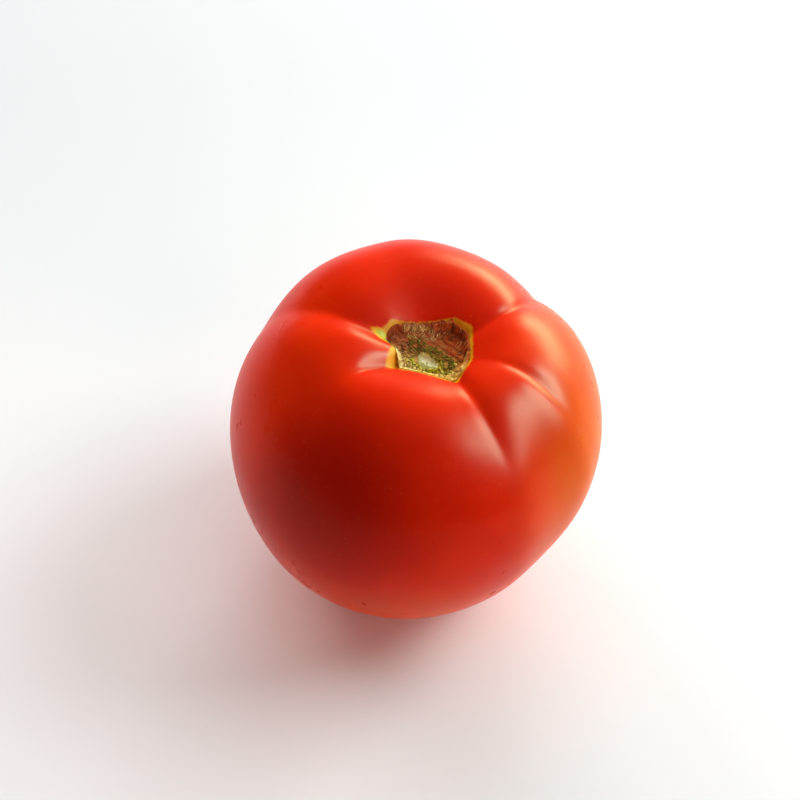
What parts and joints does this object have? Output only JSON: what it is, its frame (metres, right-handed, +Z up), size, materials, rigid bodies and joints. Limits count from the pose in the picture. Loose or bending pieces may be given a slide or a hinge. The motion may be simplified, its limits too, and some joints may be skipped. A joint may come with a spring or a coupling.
{
  "type": "tomato",
  "caption": "Whole ripe red tomato with soft lobes and furrows round a sunken corky stem scar, standing on its blossom end.",
  "frame": {"origin": "on the surface that the fruit stands on, under the middle of its bounding box", "axes": "+Z up through the stem scar, +X to the right and +Y to the back, as seen from the front"},
  "size_m": [0.0716, 0.0752, 0.0614],
  "materials": {
    "skin": "glossy waxy red skin",
    "cork": "rough dry cork"
  },
  "bodies": {
    "root": {"tomato": "skin"}
  },
  "joints": []
}
